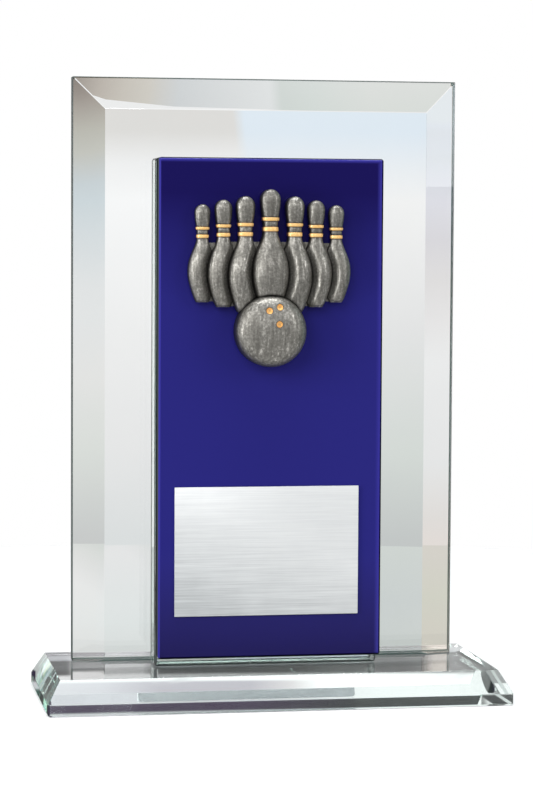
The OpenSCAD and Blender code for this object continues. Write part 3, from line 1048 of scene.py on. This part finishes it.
def band_mesh(pin):
    made = bmesh.new()
    wash_and_shade_layer = made.verts.layers.float.new("recess")
    for low, high in BANDS:
        low, high = low + BAND_INSET, high - BAND_INSET
        sheets = []
        for lift, sunk in ((BAND_PROUD, 0.0), (0.0, -PAINT_SUNK)):
            sheet = []
            for i in range(BAND_ROWS + 1):
                u = i / BAND_ROWS
                share = low + (high - low) * u
                bulge = math.sqrt(max(1 - (2 * u - 1) ** 4, 0.0))
                out = bulge * lift + sunk
                half = pin_half_width(share) * pin["h"]
                row = []
                for j in range(BAND_COLUMNS):
                    angle = math.pi * (j / (BAND_COLUMNS - 1) - 0.5)
                    x = pin["x"] + (half + out) * math.sin(angle)
                    y = BACK_Y - pin["level"] - (SWELL * half + out) * math.cos(angle)
                    vertex = made.verts.new((x, y, pin["foot"] + share * pin["h"]))
                    # painted shade where the band dips into its grooves and turns away to the
                    # sides
                    ends = math.exp(-min(u, 1 - u) / 0.07)
                    sides = math.exp(-(1 - abs(math.sin(angle))) / 0.02)
                    vertex[wash_and_shade_layer] = min(0.75 * ends + 0.8 * sides, 1.0)
                    row.append(vertex)
                walls = [made.verts.new((edge.co.x, BACK_Y - WALL_GAP, edge.co.z))
                         for edge in (row[-1], row[0])]
                # the walls behind the band are painted dark as shade
                for wall in walls:
                    wall[wash_and_shade_layer] = 1.0
                sheet.append([walls[1]] + row + [walls[0]])
            sheets.append(sheet)
        outer, inner = sheets
        for sheet in sheets:
            for a, b in zip(sheet, sheet[1:]):
                for j in range(len(a) - 1):
                    made.faces.new((a[j], a[j + 1], b[j + 1], b[j]))
        for k in (0, BAND_ROWS):
            for j in range(len(outer[k]) - 1):
                made.faces.new((outer[k][j], outer[k][j + 1], inner[k][j + 1], inner[k][j]))
        for j in (0, len(outer[0]) - 1):
            for a, b, c, d in zip(outer, outer[1:], inner[1:], inner):
                made.faces.new((a[j], b[j], c[j], d[j]))
    return made


for pin in pins:
    make_piece("painted_" + pin["name"] + "_bands", band_mesh(pin), [pin["name"] + "_bands"],
               gold_paint)
print("painted", 2 * len(pins), "neck bands")

# %% [markdown]
# ## The ball
#
# The ball is a low dome with a steeper shoulder round its rim. Its three finger holes are pits in
# the same height field, lined with gold paint. Their places come from the CAD cups.

# %% Cast the ball
BALL_LEVEL, BALL_RISE, SHOULDER = 5.5, 6.5, 2.6
HOLE_R, HOLE_DEPTH = 1.2, 1.0
HOLE_LIP, HOLE_SLOPE = 1.15, 0.5
HOLE_RINGS, HOLE_RING_STEP = 8, 0.16
RINGS, SPOKES = 60, 144
CUP_FRONT_MM = 1.2


def cup_places():
    """The middle of each finger hole, from the separate cups of the CAD node."""
    probe = bmesh.new()
    probe.from_mesh(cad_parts["finger_hole_cups"].data)
    bmesh.ops.remove_doubles(probe, verts=probe.verts, dist=WELD)
    places, seen = [], set()
    for start in probe.verts:
        if start in seen:
            continue
        island, stack = [], [start]
        seen.add(start)
        while stack:
            vertex = stack.pop()
            island.append(vertex.co / MM)
            for edge in vertex.link_edges:
                other = edge.other_vert(vertex)
                if other not in seen:
                    seen.add(other)
                    stack.append(other)
        front = min(p.y for p in island)
        rim = [p for p in island if p.y < front + CUP_FRONT_MM]
        places.append((sum(p.x for p in rim) / len(rim), sum(p.z for p in rim) / len(rim)))
    probe.free()
    return places


finger_holes = cup_places()


def ball_dome(x, z):
    """Height of the ball above the backing, without its holes."""
    out = min(math.hypot(x - BALL_X, z - BALL_Z) / BALL_R, 1.0)
    return BALL_LEVEL + BALL_RISE * math.sqrt(1 - out ** SHOULDER)


def hole_depth(x, z):
    """How deep the finger holes are, from 0 to 1."""
    nearest = min(math.hypot(x - hx, z - hz) for hx, hz in finger_holes) / HOLE_R
    return ease((HOLE_LIP - nearest) / HOLE_SLOPE)


def ball_height(x, z):
    return ball_dome(x, z) - HOLE_DEPTH * hole_depth(x, z)


def ball_recess(x, z):
    """Where the ball darkens: painted shade round its rim, and wash and painted shade at the lips
    of its holes.
    """
    lip = min(abs(math.hypot(x - hx, z - hz) - HOLE_R) for hx, hz in finger_holes)
    return max(0.75 * math.exp(gap_to_ball(x, z) / 0.5), 0.55 * close_to(lip, 0.22))


def ball_points():
    """Rings of points over the ball, closer together round the finger holes."""
    points = [(BALL_X, BALL_Z)]
    for i in range(1, RINGS):
        radius = BALL_R * math.sin(math.pi / 2 * i / RINGS)
        count = max(int(SPOKES * radius / BALL_R), 12)
        points += circle(BALL_X, BALL_Z, radius, count, 0.5 * (i % 2))
    for hx, hz in finger_holes:
        for i in range(1, HOLE_RINGS + 1):
            points += circle(hx, hz, HOLE_R * HOLE_RING_STEP * i, 6 + 3 * i, 0.5 * (i % 2))
    return points


ball_loop = circle(BALL_X, BALL_Z, BALL_R, SPOKES)
points, faces = cut_face(ball_points(), [ball_loop], lambda x, z: gap_to_ball(x, z) < 0)
make_piece("cast_ball", raise_casting(points, faces, ball_height, ball_recess),
           ["bowling_ball"], pewter)
print("ball has", len(faces), "front faces and", len(finger_holes), "finger holes")

# %% Line the finger holes with gold paint
CUP_RINGS, CUP_SPOKES = 9, 28
CUP_SHARE, CUP_PROUD = 0.98, 0.05


def cup_mesh():
    made = bmesh.new()
    wash_and_shade_layer = made.verts.layers.float.new("recess")
    for hx, hz in finger_holes:
        edges = []
        for lift in (CUP_PROUD, -PAINT_SUNK):
            rings = []
            for i in range(CUP_RINGS + 1):
                radius = HOLE_R * CUP_SHARE * i / CUP_RINGS
                ring = []
                for x, z in circle(hx, hz, radius, CUP_SPOKES if i else 1):
                    vertex = made.verts.new((x, BACK_Y - ball_height(x, z) - lift, z))
                    # painted shade, darkest deep in each finger hole
                    vertex[wash_and_shade_layer] = 0.45 * close_to(radius, 0.45)
                    ring.append(vertex)
                rings.append(ring)
            for k in range(CUP_SPOKES):
                made.faces.new((rings[0][0], rings[1][k], rings[1][(k + 1) % CUP_SPOKES]))
            for inner, outer in zip(rings[1:], rings[2:]):
                join_rings(made, inner, outer)
            edges.append(rings[-1])
        join_rings(made, *edges)
    return made


make_piece("painted_finger_holes", cup_mesh(), ["finger_hole_cups"], gold_paint)
print("lined", len(finger_holes), "finger holes")

# %% [markdown]
# ## Behind the relief
#
# The backing is a flat web that only shows as small dark shapes between the pins' shoulders, so
# it keeps its CAD mesh and takes a darker copy of the pewter, with painted shade for its place
# behind the pins. The foam behind it and the engraving plate's tape keep their meshes too.

# %% Dress the backing, the foam and the tape
# the backing takes the darker pewter, painted shade
dress("emblem_backing", dark_pewter)
dress("emblem_foam", foam_white)
dress("engraving_tape", tape_white)
print("backing, foam and tape dressed")

# %% [markdown]
# ## The engraving plate
#
# A sheared plate of brushed aluminium has tiny rounded edges. It is left blank.

# %% Cut the engraving plate
ROUNDED_MM = 0.18


def rounded_sheet(low, high):
    """A box whose edges are rounded."""
    made = bmesh.new()
    bmesh.ops.create_cube(made, size=1)
    size = high - low
    for vertex in made.verts:
        vertex.co = Vector(low[i] + (vertex.co[i] + 0.5) * size[i] for i in range(3))
    bmesh.ops.bevel(made, geom=made.edges[:], offset=ROUNDED_MM, segments=3, profile=0.5,
                    affect="EDGES", clamp_overlap=True)
    return made


low, high = box_mm("engraving_plate")
make_piece("brushed_engraving_plate", rounded_sheet(low, high), ["engraving_plate"],
           brushed_aluminium)
print("engraving plate", [round(c, 1) for c in (high - low)], "mm")

# %% [markdown]
# ## The label
#
# A blank paper label is stuck under the base's back edge and shows faintly through the front
# bevel. Its corners are rounded by the die that cut it. Its glue is dry and holds it a hair off
# the glass, so only steep light inside the base meets the paper.

# %% Cut the label
LABEL_CORNER, CORNER_STEPS = 1.4, 6
LABEL_GAP = 0.01


def label_mesh():
    low, high = box_mm("underside_label")
    left, right = low.x + LABEL_CORNER, high.x - LABEL_CORNER
    near, far = low.y + LABEL_CORNER, high.y - LABEL_CORNER
    ring = []
    for start, (x, y) in enumerate(((right, far), (left, far), (left, near), (right, near))):
        for k in range(CORNER_STEPS + 1):
            angle = math.radians(90 * (start + k / CORNER_STEPS))
            ring.append((x + LABEL_CORNER * math.cos(angle),
                         y + LABEL_CORNER * math.sin(angle)))
    return slab([(x, y, low.z) for x, y in ring],
                [(x, y, high.z - LABEL_GAP) for x, y in ring])


make_piece("blank_paper_label", label_mesh(), ["underside_label"], label_paper,
           smooth=False)
print("label cut")

# %% [markdown]
# ## The adhesive films
#
# Adhesive that is squeezed between two glass faces never stops in a straight line. Each film's
# outline wanders in and out a little, always inside the rectangle that the CAD model allows.

# %% Spread the adhesive
random.seed(7)
FOOT_WANDER, FACE_WANDER = 0.6, 0.15
FILM_STEP = 2.5
FILM_FACES = 0.25, 0.75
FIRST_DRIFT, DRIFT_STEP = 0.4, 0.35


def wavy_rectangle(width, height, wander):
    """A loop of points round a rectangle, drawn in by up to wander."""
    corners = [(0, 0), (width, 0), (width, height), (0, height)]
    loop, drift = [], FIRST_DRIFT
    for i, (x0, y0) in enumerate(corners):
        x1, y1 = corners[(i + 1) % 4]
        length = math.hypot(x1 - x0, y1 - y0)
        count = max(int(length / FILM_STEP), 3)
        inward = (-(y1 - y0) / length, (x1 - x0) / length)
        for k in range(1, count):
            drift = min(max(drift + random.uniform(-DRIFT_STEP, DRIFT_STEP), 0.0), 1.0)
            depth = wander * drift
            x = x0 + (x1 - x0) * k / count + inward[0] * depth
            y = y0 + (y1 - y0) * k / count + inward[1] * depth
            loop.append((min(max(x, 0), width), min(max(y, 0), height)))
    return loop


def film_mesh(node, wander):
    """A thin film over a CAD film's widest face, a hair thinner than the gap it fills."""
    low, high = box_mm(node)
    size = high - low
    thin = min(range(3), key=lambda i: size[i])
    across, along = [i for i in range(3) if i != thin]
    outline = wavy_rectangle(size[across], size[along], wander)
    sheets = []
    for level in FILM_FACES:
        sheet = []
        for a, b in outline:
            point = low.copy()
            point[thin] += size[thin] * level
            point[across] += a
            point[along] += b
            sheet.append(point)
        sheets.append(sheet)
    return slab(*sheets)


for node, wander in (
    ("plate_base_bond", FOOT_WANDER), ("block_base_bond", FOOT_WANDER),
    ("plate_block_bond", FACE_WANDER), ("panel_block_bond", FACE_WANDER),
):
    make_piece(node + "_film", film_mesh(node, wander), [node], cured_adhesive,
               smooth=False)
    print("spread", node)

# %% [markdown]
# ## Floor, light and surroundings
#
# Glass shows its surroundings more than itself. To the camera, the floor and the world are both
# white. What the glass picks up from them is a made-up grey studio: two pale walls that meet
# behind the trophy, a lit panel and a dark strip above them, coloured streaks to the right, and a
# pale ceiling. To all but camera rays the floor glows with painted light and painted shadow: pale
# in front, dark under the base and behind it where the trophy would shade it, with one pale strip
# between, and pale again further off. Large soft lamps to the left and above model the relief.

# %% Colour the surroundings
world = bpy.data.worlds.new("soft_studio")
bpy.context.scene.world = world
world.use_nodes = True
sky = Nodes(world.node_tree)
sky.tree.nodes.clear()
sky_x, sky_y, sky_z = sky.axes(sky.add("ShaderNodeTexCoord").outputs["Generated"])
heading = sky.times(sky.math("ARCTAN2", sky_x, sky_y), math.degrees(1))
rise = sky.times(sky.math("ARCSINE", sky_z), math.degrees(1))

# headings: 0 is straight behind the trophy and 90 is to its right
room = sky.ramp(heading, -180, 180, [
    (-180, 0.24), (-120, 0.32), (-75, 1.25), (-40, 1.0), (-16, 0.45), (-11, 0.55), (-9.5, 1.5),
    (-8, 1.6), (-1, 1.2), (17, 0.72), (23, 0.40), (27, 0.05), (60, 0.04),
    (64, (0.10, 0.50, 0.46)), (67, (0.90, 1.0, 0.95)), (69.5, (0.08, 0.38, 0.40)),
    (72, (0.95, 1.0, 0.60)), (74, (0.10, 0.45, 0.42)), (76, (0.85, 1.0, 1.0)),
    (78, (0.06, 0.30, 0.36)), (80, (0.55, 0.95, 0.60)), (82, (0.05, 0.35, 0.42)),
    (84, (0.90, 1.0, 0.85)), (87, (0.06, 0.20, 0.30)), (92, 0.10), (100, 0.55), (140, 0.26),
    (180, 0.24),
])
left_wall = sky.ramp(rise, -13, 5, [
    (-12, (0.66, 0.69, 0.68)), (-8.9, (0.73, 0.75, 0.75)), (-7.2, (0.83, 0.86, 0.86)),
    (-4.8, 0.95), (-2.1, 1.02), (0.7, 1.14), (1.5, 1.05), (2.2, (0.875, 0.860, 0.835)),
    (4, (0.87, 0.845, 0.825)),
])
right_wall = sky.ramp(rise, -13, 5, [
    (-12, (0.58, 0.60, 0.59)), (-8.9, (0.60, 0.63, 0.62)), (-7.2, (0.62, 0.64, 0.64)),
    (-4.8, (0.786, 0.828, 0.794)), (-2.1, 0.927), (0.7, 1.06), (1.3, (1.0, 1.03, 1.06)),
    (2.2, (0.89, 0.984, 1.073)), (4, (0.89, 0.984, 1.073)),
])
slant = sky.math("MULTIPLY_ADD", rise, 0.12, heading)
walls = sky.mix(sky.remap(slant, 9.45, 9.7), left_wall, right_wall)
lit_panel = sky.ramp(heading, 3, 17, [
    (5, (0.98, 0.96, 1.0)), (6.3, (0.92, 0.90, 0.95)), (7.6, (0.72, 0.68, 0.74)),
    (9.6, (0.70, 0.66, 0.72)), (10.5, (0.95, 0.90, 0.92)), (11.5, 1.5), (16, 1.5),
])
dark_strip = sky.ramp(heading, 3, 17, [
    (5, 0.15), (5.55, 0.20), (5.75, 1.0), (7.2, 0.90), (7.6, 0.11), (10.6, 0.12), (11.5, 0.22),
    (13, 0.25), (14, 0.40),
])
tilted = sky.math("ADD", rise, sky.times(sky.math("SUBTRACT", heading, 8.5), 0.012))
above = sky.mix(sky.remap(tilted, 9.80, 9.85), 1.3, lit_panel)
above = sky.mix(sky.remap(tilted, 9.64, 9.70), dark_strip, above)
above = sky.mix(sky.remap(rise, 16, 22), above, (0.42, 0.42, 0.38))
behind = sky.mix(sky.remap(rise, 5, 7), walls, above)
off_centre = sky.size(sky.math("SUBTRACT", heading, 9.0))
around = sky.mix(sky.remap(off_centre, 8, 11), behind, room)
around = sky.tint(around, sky.ramp(rise, 15, 65, [
    (16.0, 1.0), (16.2, 0.12), (17.3, 0.12), (17.5, 1.0), (23, 1.0), (45, 1.0), (45.5, 0.05),
    (49, 0.05), (50, 1.0), (64, 1.0),
]))
surround = sky.mix(sky.remap(rise, 54, 60), around, (0.92, 0.95, 1.0))
backdrop = sky.add("ShaderNodeBackground", {
    "Color": sky.mix(sky.camera_ray(), surround, 1.0), "Strength": 1.0})
sky.add("ShaderNodeOutputWorld", {"Surface": backdrop.outputs[0]})
print("surroundings coloured")

# %% Lay the floor
FLOOR_R = 0.5
UNDER_TROPHY = 0.0001


def floor_material():
    """A floor that glows for all but camera rays, in strips of painted light and painted shadow
    along X. depth is how far behind the trophy's middle they lie.
    """
    made = Finish("pale_floor")
    x, depth, _ = made.axes(made.place)
    # painted shadow under the base and behind it, between pale strips of painted light
    left_painted_strips = made.ramp(depth, -0.5, 0.5, [
        (-0.48, 1.0), (-0.10, 1.0), (-0.045, 0.80), (-0.040, 0.10), (0.022, 0.10),
        (0.027, (0.85, 0.83, 0.88)), (0.040, (0.85, 0.83, 0.88)), (0.044, 0.20), (0.055, 0.20),
        (0.058, (0.05, 0.028, 0.075)), (0.098, (0.055, 0.035, 0.075)),
        (0.106, (0.76, 0.79, 0.78)), (0.20, (0.82, 0.86, 0.85)), (0.46, 0.93),
    ])
    right_painted_strips = made.ramp(depth, -0.5, 0.5, [
        (-0.48, 1.0), (-0.10, 1.0), (-0.045, 0.80), (-0.040, 0.14), (0.022, 0.14),
        (0.027, 1.15), (0.040, 1.15), (0.044, 0.20), (0.055, 0.20),
        (0.058, (0.03, 0.035, 0.035)), (0.098, (0.03, 0.035, 0.035)),
        (0.106, (0.64, 0.68, 0.657)), (0.25, (0.65, 0.69, 0.68)), (0.46, (0.74, 0.78, 0.75)),
    ])
    strips = made.mix(made.remap(x, 0.0, 0.05), left_painted_strips, right_painted_strips)
    out = made.add("ShaderNodeVectorMath", {0: made.place}, operation="LENGTH")
    # dimmer further out: a painted falloff of the light
    painted_falloff = made.remap(out.outputs["Value"], 0.22, 0.49, 1.0, 0.32)
    strips = made.mix(made.less(depth, -0.05), strips, made.tint(strips, painted_falloff))
    grain = made.use(soft_mottle, Scale=40.0, Light=0.93, Dark=0.91)
    to_camera = made.camera_ray()
    # camera rays see the plain pale floor, and all other rays see the glowing painted strips
    made.shade(Base_Color=made.mix(to_camera, 0.0, grain["Color"]),
               Emission_Color=made.mix(to_camera, strips, 0.0), Emission_Strength=1.0,
               Roughness=0.9, Specular_IOR_Level=0.0)
    return made.material


disc = bmesh.new()
bmesh.ops.create_circle(disc, cap_ends=True, radius=FLOOR_R, segments=96)
floor_mesh = bpy.data.meshes.new("floor")
disc.to_mesh(floor_mesh)
disc.free()
floor_mesh.materials.append(floor_material())
floor = bpy.data.objects.new("floor", floor_mesh)
floor.location.z = cad_box[0].z - UNDER_TROPHY
bpy.context.scene.collection.objects.link(floor)
print("floor radius", FLOOR_R, "m")

# %% Hang the lamps
LOOK_AT = Vector((0, 0, 0.12))
LAMPS = (
    ("overhead_softbox", (0.0, -0.15, 1.35), (0.8, 0.35), 9),
    ("front_left_softbox", (-0.75, -1.05, 0.80), (0.7, 0.7), 6.5),
    ("camera_side_softbox", (-0.02, -1.35, 0.56), (0.3, 0.3), 2.4),
    ("left_strip_softbox", (-1.15, -0.50, 0.35), (0.35, 0.9), 8),
    ("front_right_fill", (1.0, -0.8, 0.6), (0.6, 0.8), 4),
)
for name, at, size, watts in LAMPS:
    lamp = bpy.data.lights.new(name, "AREA")
    lamp.shape = "RECTANGLE"
    lamp.size, lamp.size_y = size
    lamp.energy = watts
    holder = bpy.data.objects.new(name, lamp)
    holder.location = at
    holder.rotation_mode = "QUATERNION"
    holder.rotation_quaternion = (LOOK_AT - Vector(at)).to_track_quat("-Z", "Y")
    bpy.context.scene.collection.objects.link(holder)
print("hung", len(LAMPS), "lamps")

# %% Let light pass through many layers of glass
bpy.context.scene.view_settings.view_transform = "Standard"
cycles = bpy.context.scene.cycles
cycles.max_bounces = 24
cycles.transmission_bounces = 24
cycles.transparent_max_bounces = 16
cycles.glossy_bounces = 12
print("up to", cycles.max_bounces, "bounces")

# %% [markdown]
# ## Closing the lesson
#
